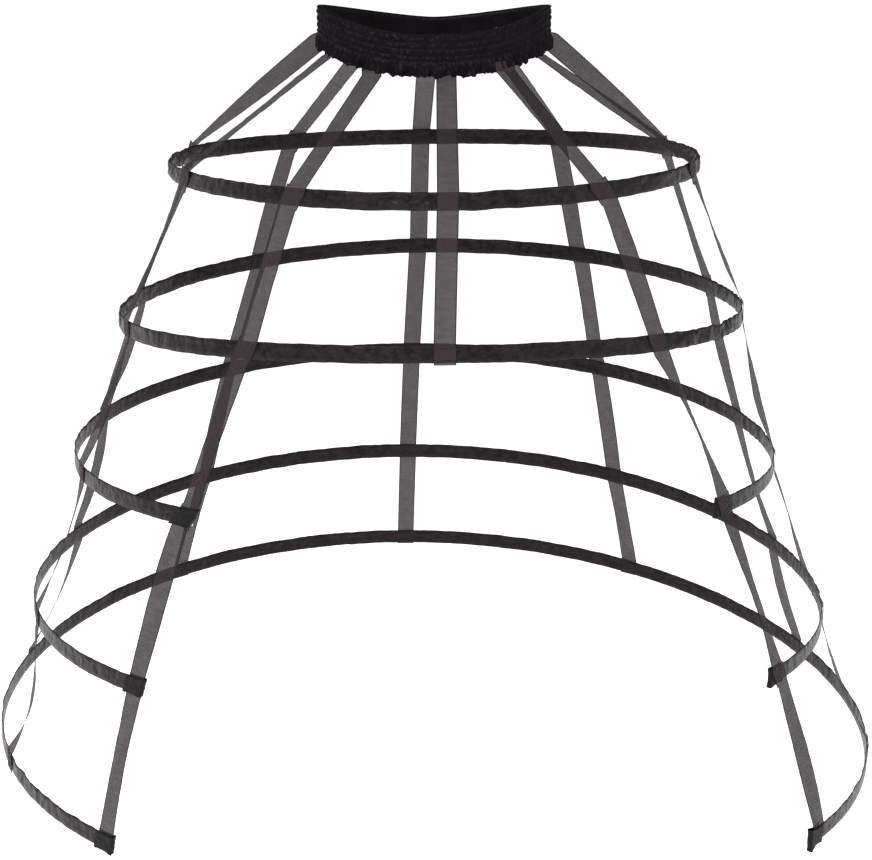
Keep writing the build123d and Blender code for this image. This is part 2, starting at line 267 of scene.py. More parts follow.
def close_ends(faces, uvs, last, ring, columns, mark):
    """Caps on the first and the last ring of a skin whose rings run out and back in columns."""
    for row in (0, last):
        for k in range(columns):
            face = [row * ring + n for n in (k, ring - 1 - k, ring - 2 - k, k + 1)]
            faces.append(tuple(face[::-1] if row else face))
            uvs += [mark(row, k)] * 4


def dip(x, lowest, power):
    """How far the top edge hangs below the corners; a low power falls straighter from them."""
    share = (2 * x / WAIST_WIDTH) ** 2
    return -lowest * (1 - ((share + 0.004) / 1.004) ** (power / 2))


def on_the_waist(bearing, out, down):
    """A point of the band: bearing round the oval, out from the cover, down from the rim."""
    x = (WAIST_WIDTH / 2 + out) * sin(bearing)
    y = -(WAIST_DEPTH / 2 + out) * cos(bearing)
    lowest, power = (FRONT_DIP, FRONT_FALL) if cos(bearing) > 0 else (BACK_DIP, BACK_FALL)
    held = WAIST_WIDTH / 2 * sin(bearing)
    return Vector((x, y, dip(held, lowest, power) - down))


def round_waist(bearing):
    """A place on a circle as long as the gathered band, to read noise from."""
    reach = 0.102
    return Vector((reach * sin(bearing), reach * cos(bearing), 0))


def gathers(bearing, down):
    """How far the outer satin stands proud of the cover's face."""
    around = round_waist(bearing)
    rows = (0.0, *STITCH_ROWS)
    if down <= BAND_HEIGHT:
        channel = max(i for i, row in enumerate(rows) if row <= down + 1e-9)
        top, bottom = rows[min(channel, 4)], rows[min(channel + 1, 5)]
        share = min(1.0, max(0.0, (down - top) / (bottom - top)))
        puff = sin(pi * share)
        fine = rumple((around + Vector((0, 0, down * 0.35))) / 0.0024, channel)
        coarse = rumple((around + Vector((0, 0, down * 0.6))) / 0.0062, 20 + channel)
        return 0.0004 + 0.0009 * puff + (0.0005 + 0.0005 * puff) * fine + 0.0004 * puff * coarse
    flare = ease(down, BAND_HEIGHT, BAND_HEIGHT + RUFFLE_HEIGHT)
    start = ease(down, BAND_HEIGHT, BAND_HEIGHT + 0.004)
    fold = rumple((around + Vector((0, 0, down * 0.22))) / 0.0044, 40)
    crease = rumple((around + Vector((0, 0, down * 0.3))) / 0.0019, 41)
    lift = 0.0004 + 0.0016 * start + 0.0012 * flare
    return min(lift + (0.0012 + 0.0034 * flare) * start * fold + 0.0008 * crease, RUFFLE_REACH)


def hem_length(bearing):
    """How far down the ruffle's raw, uneven hem hangs."""
    around = round_waist(bearing)
    uneven = 0.0019 * rumple(around / 0.0045, 50) + 0.0010 * rumple(around / 0.002, 51)
    return BAND_HEIGHT + RUFFLE_HEIGHT - 0.001 + uneven


def band_ring(bearing):
    """One upright slice of the band: down its outside, round the hem and up its inside."""
    hem = hem_length(bearing)
    outside = [BAND_HEIGHT * i / 26 for i in range(27)]
    outside += [BAND_HEIGHT + (hem - BAND_HEIGHT) * i / 12 for i in range(1, 13)]
    ring = []
    for down in outside:
        rim = 1 - ease(down, 0.0, 0.0016)
        ring.append(on_the_waist(bearing, gathers(bearing, down) - 0.0015 * rim, down))
    around = round_waist(bearing)
    for down in reversed(outside[27::2]):
        ring.append(on_the_waist(bearing, gathers(bearing, down) - 0.0008, down))
    for i in range(11):
        down = BAND_HEIGHT * (1 - i / 10)
        rim = 1 - ease(down, 0.0, 0.0016)
        slub = 0.0003 * rumple((around + Vector((0, 0, down))) / 0.004, 60)
        ring.append(on_the_waist(bearing, -BAND_THICKNESS + slub + 0.0012 * rim, down + 0.0002 * rim))
    return ring


def band_satin(tree):
    place = tree.node("ShaderNodeTexCoord", {}, {}, "Object")
    cloth = tree.node("ShaderNodeTexCoord", {}, {}, "UV")
    streak = tree.node("ShaderNodeMapping", {}, {"Vector": cloth, "Scale": (900, 60, 1)})
    line = tree.grain(streak, 1.0, 3.0, 0.6)
    blotch = tree.grain(place, 45.0)
    # Painted sheen: the base colour is lighter along fine streaks down the gathers, standing in for their
    # highlights, mixed with random blotches of tone.
    painted_sheen_and_tone = tree.step(line * 0.7 + blotch * 0.3, 0.42, 0.68)
    weave = tree.grain(place, 2200.0, 1.0)
    return {
        "Base Color": tree.tint(painted_sheen_and_tone, *SATIN_BLACK_AND_SHEEN),
        "Roughness": tree.step(line, 0.3, 0.7, 0.50, 0.32),
        "Specular IOR Level": 0.075,
        "Specular Tint": (1.0, 0.90, 0.98, 1),
        "Normal": tree.bump(line * 0.7 + weave * 0.3, 0.00035),
    }


bearings = [2 * pi * i / BAND_COLUMNS for i in range(BAND_COLUMNS)]
rings = [band_ring(bearing) for bearing in bearings]
band_length = sum((rings[i][15] - rings[i - 1][15]).length for i in range(BAND_COLUMNS))
girth = len(rings[0])
points, faces, uvs = tube(
    rings, lambda i, k: (i / BAND_COLUMNS * band_length * 1.6, k / girth * 0.108)
)
waistband = piece("waistband", points, faces, uvs, finish("band_satin", band_satin))
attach(waistband, "root")
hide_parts("waistband_cover")


# ---- Elastic -------------------------------------------------------------------------
# Wide woven elastic, black, sealed inside the shirred band; its ribs run round the waist.
def elastic_weave(tree):
    place = tree.node("ShaderNodeTexCoord", {}, {}, "Object")
    height = tree.node("ShaderNodeSeparateXYZ", {}, {"Vector": place}, "Z")
    rib = (height * 4200).wave() * 0.5 + 0.5
    fuzz = tree.grain(place, 900.0)
    return {
        "Base Color": tree.tint(fuzz * rib, (0.014, 0.014, 0.014), (0.035, 0.034, 0.034)),
        "Roughness": 0.85,
        "Normal": tree.bump(rib, 0.0002),
    }


def refinish(node, material):
    """A carried-over CAD piece takes a finish of its own."""
    piece_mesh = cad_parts[node].data
    piece_mesh.materials.clear()
    piece_mesh.materials.append(material)


refinish("waistband_elastic", finish("elastic_weave", elastic_weave))


# ---- Hoop casings --------------------------------------------------------------------
# Black satin tape folded lengthwise round each bone and stitched shut near both edges. The
# bone rides low in it and fills it out; the upper half is slack, so it puckers and ripples.
CASING_HEIGHT = 0.021
CASING_THICKNESS = 0.0032
CASING_CLOTH = 0.0003
CASING_STEP = 0.0026  # along the hoop, from one ring of points to the next
PAST_STRAP = {"left": 0.0109, "right": 0.0175}  # an open hoop's end, past its strap's middle
# height in half heights, then half thickness in millimetres
CASING_SHAPE = (
    (-1.0, 0.45), (-0.95, 1.15), (-0.72, 1.62), (-0.42, 1.60), (-0.10, 1.20),
    (0.25, 0.95), (0.62, 0.95), (0.90, 0.50), (1.0, 0.35),
)


class Hoop:
    """A hoop's own circle, leaned and dished by the way its straps carry it."""

    def __init__(self, radius, drop, shift, right_rise, back_rise, dish, open_from=0, open_to=0):
        self.radius = radius
        self.dish = dish
        self.open_from = radians(open_from)
        self.open_to = radians(open_to)
        self.is_open = open_from != open_to
        self.middle = Vector((*shift, -drop))
        self.up = Vector((-right_rise / radius, -back_rise / radius, 1)).normalized()
        self.right = Vector((1, 0, right_rise / radius)).normalized()
        self.back = self.up.cross(self.right)

    def at(self, bearing, out=0.0, up=0.0):
        """A point on the hoop: out from the bone's line, up from the casing's middle."""
        reach = self.radius + out
        height = self.dish * cos(2 * bearing) + up
        flat = self.right * (reach * sin(bearing)) - self.back * (reach * cos(bearing))
        return self.middle + flat + self.up * height

    def along(self, bearing):
        return self.right * cos(bearing) + self.back * sin(bearing)

    def run(self):
        """Bearings of the casing's two ends, the open front left out."""
        if not self.is_open:
            return 0.0, 2 * pi
        first = self.open_from - PAST_STRAP["right"] / self.radius
        return first, 2 * pi + self.open_to + PAST_STRAP["left"] / self.radius


HOOPS = [
    Hoop(0.329, 0.196, (0.0, -0.003), 0.003, -0.014, -0.003),
    Hoop(0.394, 0.374, (-0.004, 0.004), 0.003, -0.018, 0.010),
    Hoop(0.449, 0.556, (-0.012, 0.003), -0.005, -0.004, 0.009, 52, -37.6),
    Hoop(0.511, 0.741, (-0.007, -0.013), -0.012, 0.008, 0.012, 54.5, -41.3),
    Hoop(0.572, 0.921, (0.002, 0.003), -0.021, 0.025, 0.011, 53.4, -42.3),
]

# Each strap's bearing at the waist, then at the top and the bottom edge of each casing.
STRAPS = {
    "front_centre": (6.3, ((2.6, 2.5), (2.2, 2.2))),
    "front_left": (-34, ((-28, -30.4), (-31.5, -33.4), (-36.5, -38.7), (-40.9, -41.7), (-42.1, -42.5))),
    "front_right": (36, ((33.9, 37.3), (40.7, 42.4), (51.2, 52.7), (53.6, 55.5), (53.4, 53.4))),
    "side_front_left": (-81, ((-63, -66), (-70, -70), (-70, -70), (-73, -73), (-69, -69))),
    "side_front_right": (82, ((69, 73), (81, 81), (81, 81), (81, 81), (81, 81))),
    "side_back_left": (-118, ((-110, -106), (-105, -105), (-106, -106), (-109, -109), (-102, -102))),
    "side_back_right": (
        116, ((115.5, 112.5), (111.5, 109.4), (109.9, 108.6), (111.2, 110.4), (114.7, 114.7))
    ),
    "back_left": (
        -136, ((-146.1, -143.1), (-142.5, -141.8), (-141.5, -140.6), (-140.3, -139.3), (-137.9, -137.9))
    ),
    "back_right": (140.5, ((149.8, 148.7), (148.5, 147.2), (146.5, 145.6), (147.6, 147), (148.6, 148.6))),
    "back_centre": (
        -176.2, ((-177.1, -176.8), (-177.5, -177.2), (-177.5, -177.4), (-176.4, -176.4), (-175.3, -175.3))
    ),
}
END_STRAPS = {"front_left": "left", "front_right": "right"}
# how far the left ends of the open hoops lean with their strap, at half a casing's height
END_LEAN = {3: 0.0088, 4: 0.0036, 5: 0.0020}
LEAN_FADE = (0.032, 0.060)  # distances from the end over which the lean dies out
SEWN_DOWN = (0.0135, 0.027)  # distances from a strap's middle over which the tape comes loose
# hoop, middle bearing and half width in degrees, and how much: the tape was eased in
# tighter there and crumples
CRUMPLES = (
    (1, 92, 22, 1.0), (1, -92, 24, 1.0), (1, 62, 10, 0.6), (1, -50, 12, 0.35),
    (2, 59, 14, 1.0), (2, 96, 16, 0.6), (2, -92, 16, 0.9), (2, -128, 8, 0.4),
    (3, 100, 14, 0.5), (3, -95, 12, 0.4), (4, 96, 12, 0.3), (5, -60, 8, 0.3),
)


def turned(first, second):
    """Difference of two bearings in degrees, from -180 to 180."""
    return (first - second + 180) % 360 - 180


def crumple_at(number, degrees):
    """How crumpled the tape is there, from 0 to 1."""
    most = 0.0
    for hoop_number, middle, width, amount in CRUMPLES:
        if hoop_number == number:
            away = turned(degrees, middle) / width
            most = max(most, amount * exp(-(away ** 4)))
    return most


def crossing_at(sewn, height):
    """Bearing in degrees of a strap that crosses a casing, at a height of -1 to 1."""
    top, bottom = sewn
    return bottom + (top - bottom) * (height + 1) / 2


def slack_at(number, hoop, degrees, height):
    """0 where a strap is sewn down, rising to 1 clear of it."""
    nearest = 1.0
    for waist, sewn in STRAPS.values():
        if len(sewn) >= number:
            away = abs(turned(degrees, crossing_at(sewn[number - 1], height)))
            nearest = min(nearest, away * pi / 180 * hoop.radius)
    return ease(nearest, *SEWN_DOWN)


def leaned(number, hoop, bearing, height):
    """Bearing moved along near a left end that leans with its strap."""
    if number not in END_LEAN:
        return bearing
    away = abs(hoop.run()[1] - 2 * pi - bearing) * hoop.radius
    if bearing > pi:
        away = abs(hoop.run()[1] - bearing) * hoop.radius
    return bearing + END_LEAN[number] * height * (1 - ease(away, *LEAN_FADE)) / hoop.radius


def casing_offset(number, hoop, bearing, height):
    """Ripples at a height of -1 to 1: how far out, how far up, and how much thicker."""
    around = Vector((hoop.radius * sin(bearing), hoop.radius * cos(bearing), 0))
    degrees = bearing * 180 / pi
    slack = slack_at(number, hoop, degrees, height)
    crumpled = crumple_at(number, degrees) * slack
    loose = ease(height, -0.35, 0.75) * slack
    slanted = around + Vector((0, 0, height * 0.006))
    long_wave = rumple(slanted / 0.026, number)
    short_wave = rumple(slanted / 0.0085, 10 + number)
    tight = rumple((around + Vector((0, 0, height * 0.012))) / 0.0052, 20 + number)
    out = loose * (0.0009 * long_wave + 0.0005 * short_wave)
    out += crumpled * (0.0011 * short_wave + 0.0009 * tight)
    edge = abs(height) ** 3
    up = edge * (0.00045 * rumple(around / 0.031, 30 + number) + 0.0003 * rumple(around / 0.011, 40))
    up *= 0.3 + 0.7 * slack
    up += crumpled * (0.0012 * rumple(around / 0.014, 50 + number) - 0.0008 * height)
    thick = slack * 0.00040 * rumple(slanted / 0.0068, 60 + number)
    thick += crumpled * 0.0006 * (1 + rumple(slanted / 0.0075, 70 + number))
    return out, up, thick


def casing_ring(number, hoop, bearing, skin):
    """A closed ring of points round the tape; skin is how far it lies inside the outer face."""
    faces = CASING_SHAPE[1:-1]
    ring = []
    half = CASING_HEIGHT / 2
    for side, shape in ((0, CASING_SHAPE[:1]), (1, faces), (0, CASING_SHAPE[-1:]), (-1, faces[::-1])):
        for height, thickness in shape:
            out, up, thick = casing_offset(number, hoop, bearing, height)
            reach = max(thickness / 1000 + thick * (1 - height * height) - skin, 0.0001)
            level = height * (half - skin) + up
            leaning = leaned(number, hoop, bearing, height)
            ring.append(hoop.at(leaning, out + side * reach, level))
    return ring


def casing_satin(tree):
    place = tree.node("ShaderNodeTexCoord", {}, {}, "Object")
    cloth = tree.node("ShaderNodeTexCoord", {}, {}, "UV")
    across = tree.node("ShaderNodeSeparateXYZ", {}, {"Vector": cloth}, "X")
    # The mask hem darkens the base colour to near black towards the tape's top and bottom edges: painted
    # shade where its rolled edges turn away from the light.
    hem = tree.step(abs(across), 0.80, 0.96)
    long_slub = tree.node("ShaderNodeMapping", {}, {"Vector": cloth, "Scale": (2.5, 120, 1)})
    slub = tree.grain(long_slub, 1.0, 3.0)
    crease = tree.grain(place, 85.0, 3.0, 0.55)
    weave = tree.grain(place, 2400.0, 1.0)
    shade = tree.step(slub * 0.5 + crease * 0.5, 0.36, 0.64)
    face = tree.tint(shade, (0.0045, 0.0034, 0.0039), (0.0135, 0.0106, 0.0120))
    return {
        # Base colour: the face's tone, with painted shade at the top and bottom edges.
        "Base Color": tree.node(
            "ShaderNodeMix", {"data_type": "RGBA"},
            {"Factor": hem, 6: face, 7: (0.003, 0.0028, 0.003, 1)}, 2,
        ),
        "Roughness": tree.step(crease, 0.3, 0.7, 0.26, 0.38) + hem * 0.3,
        "Specular IOR Level": 0.155,
        "Specular Tint": (1.0, 0.86, 0.92, 1),
        "Normal": tree.bump(crease * 0.75 + weave * 0.05 + slub * 0.2, 0.0022),
    }


satin_of_casings = finish("casing_satin", casing_satin)
for number, hoop in enumerate(HOOPS, start=1):
    first, last = hoop.run()
    count = ceil((last - first) * hoop.radius / CASING_STEP)
    steps = count if not hoop.is_open else count + 1
    bearings = [first + (last - first) * i / count for i in range(steps)]
    outer = [casing_ring(number, hoop, bearing, 0.0) for bearing in bearings]
    inner = [casing_ring(number, hoop, bearing, CASING_CLOTH) for bearing in bearings]
    heights = [-1.0]
    heights += [shape[0] for shape in CASING_SHAPE[1:]]
    heights += [shape[0] for shape in CASING_SHAPE[-2::-1]]
    length = (last - first) * hoop.radius

    def marks(i, k):
        back_and_forth = min(i, 2 * count + 1 - i) if hoop.is_open else i
        return heights[k], back_and_forth / count * length

    if hoop.is_open:
        points, faces, uvs = tube(outer + inner[::-1], marks)
    else:
        points, faces, uvs = tube(outer, marks)
        inside = tube(inner[::-1], marks)
        faces = faces + [tuple(i + len(points) for i in face) for face in inside[1]]
        points = points + inside[0]
        uvs = uvs + inside[2]
    faces, uvs = turned_out(faces, uvs)
    casing = piece(f"casing_{number}", points, faces, uvs, satin_of_casings)
    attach(casing, "root")
    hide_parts(f"hoop_{number}_casing")


# ---- Bones, joining sleeves and tips -------------------------------------------------
# Flat spring steel, blued a little by its temper; crimped tin-plated sleeves join the two
# closed bones, and white dipped plastic caps the ends of the open ones. All are hidden.
def spring_steel(tree):
    place = tree.node("ShaderNodeTexCoord", {}, {}, "Object")
    roll = tree.node("ShaderNodeMapping", {}, {"Vector": place, "Scale": (4, 4, 900)})
    line = tree.grain(roll, 1.0, 2.0)
    heat = tree.grain(place, 14.0)
    return {
        "Base Color": tree.tint(heat, (0.42, 0.43, 0.47), (0.55, 0.54, 0.52)),
        "Metallic": 1.0,
        "Roughness": tree.step(line, 0.3, 0.7, 0.28, 0.42),
        "Normal": tree.bump(line, 0.00003),
    }


def tinned_sleeve(tree):
    place = tree.node("ShaderNodeTexCoord", {}, {}, "Object")
    spangle = tree.node("ShaderNodeTexVoronoi", {}, {"Vector": place, "Scale": 420.0})
    return {
        "Base Color": tree.tint(spangle, (0.60, 0.60, 0.60), (0.74, 0.74, 0.73)),
        "Metallic": 1.0,
        "Roughness": tree.step(spangle, 0.0, 0.8, 0.32, 0.46),
        "Normal": tree.bump(spangle, 0.00004),
    }


def dipped_plastic(tree):
    place = tree.node("ShaderNodeTexCoord", {}, {}, "Object")
    drip = tree.grain(place, 260.0)
    return {
        "Base Color": tree.tint(drip, (0.74, 0.74, 0.71), (0.82, 0.82, 0.80)),
        "Roughness": 0.42,
        "Normal": tree.bump(drip, 0.0001),
    }


steel = finish("spring_steel", spring_steel)
tin = finish("tinned_sleeve", tinned_sleeve)
plastic = finish("dipped_plastic", dipped_plastic)
for number, hoop in enumerate(HOOPS, start=1):
    refinish(f"hoop_{number}_bone", steel)
    if hoop.is_open:
        refinish(f"hoop_{number}_tip_left", plastic)
        refinish(f"hoop_{number}_tip_right", plastic)
    else:
        refinish(f"hoop_{number}_joining_sleeve", tin)


# ---- Straps --------------------------------------------------------------------------
# Ten lengths of sheer black ribbon with woven edges, 25 mm wide, caught in the waistband
# and machined to the outside of every casing that they cross. Between hoops they hang free.
STRAP_WIDTH = 0.025
STRAP_THICKNESS = 0.00024
STRAP_STEP = 0.004
STRAP_COLUMNS = 8
STRAP_CLEARANCE = 0.0002
STRAP_SEAM_ALLOWANCE = 0.012
STRAP_TURN = 0.006
STRAP_STUB = 0.002
STRAP_LAY = 0.00205  # the ribbon's middle, out from the bone's line where it is sewn down
OVER_THE_RUFFLE = ("front_right",)
BESIDE_THE_RUFFLE = ("side_back_left", "side_back_right")
SIDE_BACK_ROLL = radians(60)  # towards the front, near the band
SIDE_BACK_ROLL_IN = 0.020  # length over which they roll
RUFFLE_LAY = 0.0006  # clear of the ruffle's folds
BAND_LAY = 0.00045  # clear of the band's inner face
PAST_CASING = 0.0015  # a strap keeps to the casing's face this far past its edges
TUCKED_IN = (0.0028, 0.007)  # a strap over the ruffle starts among its folds: out, then down
CROSSING_STEP = 0.8  # degrees that a slanted crossing goes round the casing in one step
PATCH_ROOM = 0.0004  # between an end patch and a strap that crosses it
TAB_COLUMNS = 24
TAB_RING = 16
WRAPPED_ENDS = ((3, "left"), (4, "left"), (5, "left"), (5, "right"))
PATCH_CLOTH = 0.0008
# how each free length hangs, from the waist down: bow in millimetres, negative where it sags
# inwards, then turn in degrees about its own line, and where along the length both are greatest
STRAP_HANG = {
    "front_centre": ((0, 0, 0.5), (0, 4, 0.5)),
    "front_left": ((0, 5, 0.5), (1, 3, 0.5), (1, 10, 0.6), (2, -14, 0.4), (2, 8, 0.5)),
    "front_right": ((0, -6, 0.4), (1, 6, 0.5), (4, -34, 0.5), (2, -16, 0.6), (2, 12, 0.6)),
    "side_front_left": ((0, 6, 0.5), (-2, 10, 0.3), (-5, -8, 0.6), (-6, 20, 0.5), (-14, 22, 0.6)),
    "side_front_right": ((0, 10, 0.5), (-2, -18, 0.6), (-5, -24, 0.6), (-6, -18, 0.7), (-6, -16, 0.5)),
    "side_back_left": ((0, 8, 0.5), (-2, -8, 0.5), (-4, 10, 0.5), (-5, 9, 0.5), (-6, -12, 0.5)),
    "side_back_right": ((0, -8, 0.5), (-1, 8, 0.5), (-2, -6, 0.5), (-3, 8, 0.5), (-3, -5, 0.5)),
    "back_left": ((0, 0, 0.5), (1, 6, 0.5), (1, -5, 0.5), (1, 5, 0.5), (1, -4, 0.5)),
    "back_right": ((0, 0, 0.5), (1, -5, 0.5), (1, 4, 0.5), (1, -5, 0.5), (1, 6, 0.5)),
    "back_centre": ((0, 0, 0.5), (1, 3, 0.5), (1, -4, 0.5), (1, 3, 0.5), (1, -3, 0.5)),
}


def strap_at_waist(bearing, out, down):
    """Middle and crosswise direction of a strap in or over the band."""
    half_x, half_y = WAIST_WIDTH / 2 + out, WAIST_DEPTH / 2 + out
    across = Vector((half_x * cos(bearing), half_y * sin(bearing), 0)).normalized()
    return on_the_waist(bearing, out, down), across


def oval_sagitta(bearing, out):
    """How far a flat strap's edges stand off its middle, laid in the oval set out."""
    half_x, half_y = WAIST_WIDTH / 2 + out, WAIST_DEPTH / 2 + out
    bend = hypot(half_x * cos(bearing), half_y * sin(bearing)) ** 3 / (half_x * half_y)
    return bend - (bend * bend - STRAP_WIDTH ** 2 / 4) ** 0.5


def strap_lay(name, number):
    """How far out a strap lies on a casing: more where it also crosses an end patch."""
    side = END_STRAPS.get(name)
    if side and HOOPS[number - 1].is_open and (number, side) not in WRAPPED_ENDS:
        return STRAP_LAY + STRAP_CLEARANCE + PATCH_CLOTH + PATCH_ROOM
    return STRAP_LAY


def rolled(run, left):
    """Crosswise direction of a side back strap that has rolled towards the front."""
    level = Vector((0, 0, 1)).cross(run).normalized()
    lift = (Vector((0, 0, 1)) - run * run.z).normalized()
    towards = 1 if left else -1
    return level * cos(SIDE_BACK_ROLL) + lift * (towards * sin(SIDE_BACK_ROLL))


def strap_stations(name):
    """Middle and crosswise direction down a strap, and whether it hangs free from there."""
    waist, crossings = STRAPS[name]
    laid = []
    for number, (hoop, sewn) in enumerate(zip(HOOPS, crossings), start=1):
        out = strap_lay(name, number)
        above = CASING_HEIGHT / 2 + PAST_CASING
        below = CASING_HEIGHT / 2 + (STRAP_STUB if number == len(crossings) else PAST_CASING)
        steps = 1 + int(abs(sewn[0] - sewn[1]) / CROSSING_STEP)
        for step in range(steps + 1):
            bearing = radians(sewn[0] + (sewn[1] - sewn[0]) * step / steps)
            level = above - (above + below) * step / steps
            laid.append((hoop.at(bearing, out, level), hoop.along(bearing), step == steps))
    bearing = radians(waist)
    if name in OVER_THE_RUFFLE:
        upper, across = strap_at_waist(bearing, TUCKED_IN[0], BAND_HEIGHT + TUCKED_IN[1])
        lower, across = strap_at_waist(bearing, RUFFLE_STAND + RUFFLE_LAY, BAND_HEIGHT + RUFFLE_HEIGHT)
        return [(upper, across, False), (lower, across, True)] + laid
    if name in BESIDE_THE_RUFFLE:
        middle, across = strap_at_waist(bearing, RUFFLE_STAND + RUFFLE_LAY, BAND_HEIGHT - 0.0002)
        run = (laid[0][0] - middle).normalized()
        facing_front = rolled(run, waist < 0)
        return [(middle, across, False), (middle + run * SIDE_BACK_ROLL_IN, facing_front, True)] + laid
    out = -BAND_THICKNESS - BAND_LAY
    out -= 1.5 * oval_sagitta(bearing, out)
    upper, across = strap_at_waist(bearing, out, BAND_HEIGHT - STRAP_SEAM_ALLOWANCE)
    lower, across = strap_at_waist(bearing, out, BAND_HEIGHT + RUFFLE_HEIGHT + STRAP_TURN)
    return [(upper, across, False), (lower, across, True)] + laid


def strap_line(name):
    """Closely spaced middles, crosswise directions and slacknesses down a whole strap."""
    stations = strap_stations(name)
    hang = iter(STRAP_HANG[name])
    line = []
    facing = Vector((stations[0][0].x, stations[0][0].y, 0))
    for start, end in zip(stations, stations[1:]):
        free = start[2]
        count = max(2, ceil((end[0] - start[0]).length / STRAP_STEP))
        run = (end[0] - start[0]).normalized()
        if free:
            bow, turn, peak = next(hang)
        for step in range(count):
            share = step / count
            middle = start[0].lerp(end[0], share)
            across = start[1].lerp(end[1], share).normalized()
            slack = sin(pi * share) if free else 0.0
            out = across.cross(run).normalized()
            facing = out if out.dot(facing) > 0 else -out
            if free:
                skew = share ** (log(0.5) / log(peak))
                lift = sin(pi * skew)
                angle = radians(turn) * lift
                middle = middle + facing * (bow / 1000 * lift)
                across = across * cos(angle) + facing * sin(angle)
            line.append((middle, across.normalized(), slack))
    line.append((*stations[-1][:2], 0.0))
    return line


def folded_end(start):
    """The front centre strap's end, folded up into a flat tab on the second hoop's casing."""
    hoop = HOOPS[1]
    bearing = radians(STRAPS["front_centre"][1][1][0])
    rings = []
    for column in range(TAB_COLUMNS + 1):
        share = column / TAB_COLUMNS * 2 - 1
        ring = []
        for corner in range(TAB_RING):
            turn = 2 * pi * corner / TAB_RING
            flat = abs(sin(turn)) ** 0.35 * (1 if sin(turn) > 0 else -1)
            slope = 0.0020 * max(0.0, -share - 0.25) ** 1.2
            level = 0.0068 * flat - slope + 0.0005 * rumple((share * 2.1, flat, 3))
            fat = 0.00042 + 0.0003 * ease(-share - flat * 0.8, 0.0, 0.5)
            out = STRAP_LAY + 0.0007 + fat * cos(turn) * (1 + 0.5 * rumple((share * 2, flat * 2, 5)))
            ring.append(hoop.at(bearing + share * STRAP_WIDTH * 0.495 / hoop.radius, out, level))
        rings.append(ring)
    points, faces, uvs = tube(
        rings, lambda i, k: (0.1 + 0.8 * i / TAB_COLUMNS, 0.4 + k / TAB_RING * 0.03), False
    )
    for row in (0, TAB_COLUMNS):
        face = [row * TAB_RING + k for k in range(TAB_RING)]
        faces.append(tuple(face[::-1] if row == 0 else face))
        uvs += [(0.5, 0.4)] * TAB_RING
    return points, [tuple(i + start for i in face) for face in faces], uvs


def ribbon(name):
    """A strap as a thin closed solid: rings of points across it, front face and back face."""
    rings, places = [], []
    travelled, before = 0.0, None
    seed = list(STRAPS).index(name)
    facing = None
    line = strap_line(name)
    for i, (middle, across, slack) in enumerate(line):
        nearby = line[min(i + 1, len(line) - 1)][0] - line[max(i - 1, 0)][0]
        along = nearby.normalized()
        across = (across - along * across.dot(along)).normalized()
        normal = across.cross(along)
        against = facing if facing else Vector((middle.x, middle.y, 0))
        facing = normal if normal.dot(against) > 0 else -normal
        travelled += (middle - before).length if before else 0.0
        before = middle
        front, back = [], []
        for column in range(STRAP_COLUMNS + 1):
            share = column / STRAP_COLUMNS * 2 - 1
            curl = slack * 0.0007 * (1 - share * share) * (1 + 0.5 * rumple((travelled / 0.05, seed, 0)))
            ripple = slack * 0.0004 * rumple((travelled / 0.022, share * 1.1, seed), 80)
            edge = abs(share) ** 6 * slack * 0.00025 * rumple((travelled / 0.007, share, seed), 81)
            half = STRAP_THICKNESS / 2 * (1.5 if abs(share) > 0.99 else 1.0)
            place = middle + across * (share * STRAP_WIDTH / 2) + facing * (curl + ripple + edge)
            front.append(place + facing * half)
            back.append(place - facing * half)
        rings.append(front + back[::-1])
        places.append(travelled)
    ring = len(rings[0])
    width = [column / STRAP_COLUMNS for column in range(STRAP_COLUMNS + 1)]
    width = width + width[::-1]
    points, faces, uvs = tube(rings, lambda i, k: (width[k % ring], places[i]), False)
    close_ends(faces, uvs, len(rings) - 1, ring, STRAP_COLUMNS, lambda row, k: (width[k], places[row]))
    if name == "front_centre":
        more_points, more_faces, more_uvs = folded_end(len(points))
        points, faces, uvs = points + more_points, faces + more_faces, uvs + more_uvs
    faces, uvs = turned_out(faces, uvs)
    return points, faces, uvs, places[-1]


def organza(tree):
    place = tree.node("ShaderNodeTexCoord", {}, {}, "Object")
    cloth = tree.node("ShaderNodeTexCoord", {}, {}, "UV")
    ribbon_axes = tree.node("ShaderNodeSeparateXYZ", {}, {"Vector": cloth}, "X")
    across, along = ribbon_axes, ribbon_axes.part("Y")
    selvedge = tree.step(abs(across - 0.5), 0.435, 0.468)
    warp = (across * 2 * pi * 62).wave() * 0.5 + 0.5
    weft = (along * 2 * pi * 2300).wave() * 0.5 + 0.5
    bar = tree.node("ShaderNodeMapping", {}, {"Vector": cloth, "Scale": (2.0, 260, 1)})
    streak = tree.grain(bar, 1.0, 3.0, 0.65)
    cloud = tree.grain(place, 60.0)
    thin = (streak - 0.5) * 0.16 + (cloud - 0.5) * 0.08 + (warp * weft - 0.25) * 0.05
    return {
        "Base Color": tree.tint(
            selvedge * 0.75 + (streak - 0.5) * 0.3, (0.032, 0.0238, 0.0258), (0.0115, 0.0086, 0.0093)
        ),
        "Roughness": 0.62,
        "Specular IOR Level": 0.12,
        "Specular Tint": (1.0, 0.86, 0.92, 1),
        "Alpha": selvedge * 0.16 + 0.765 + thin,
        "Normal": tree.bump(warp * 0.5 + weft * 0.5, 0.00006),
    }


sheer = finish("organza", organza)
for name in STRAPS:
    points, faces, uvs, length = ribbon(name)
    strap = piece(f"strap_{name}_ribbon", points, faces, uvs, sheer)
    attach(strap, "root")
    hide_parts(f"strap_{name}")


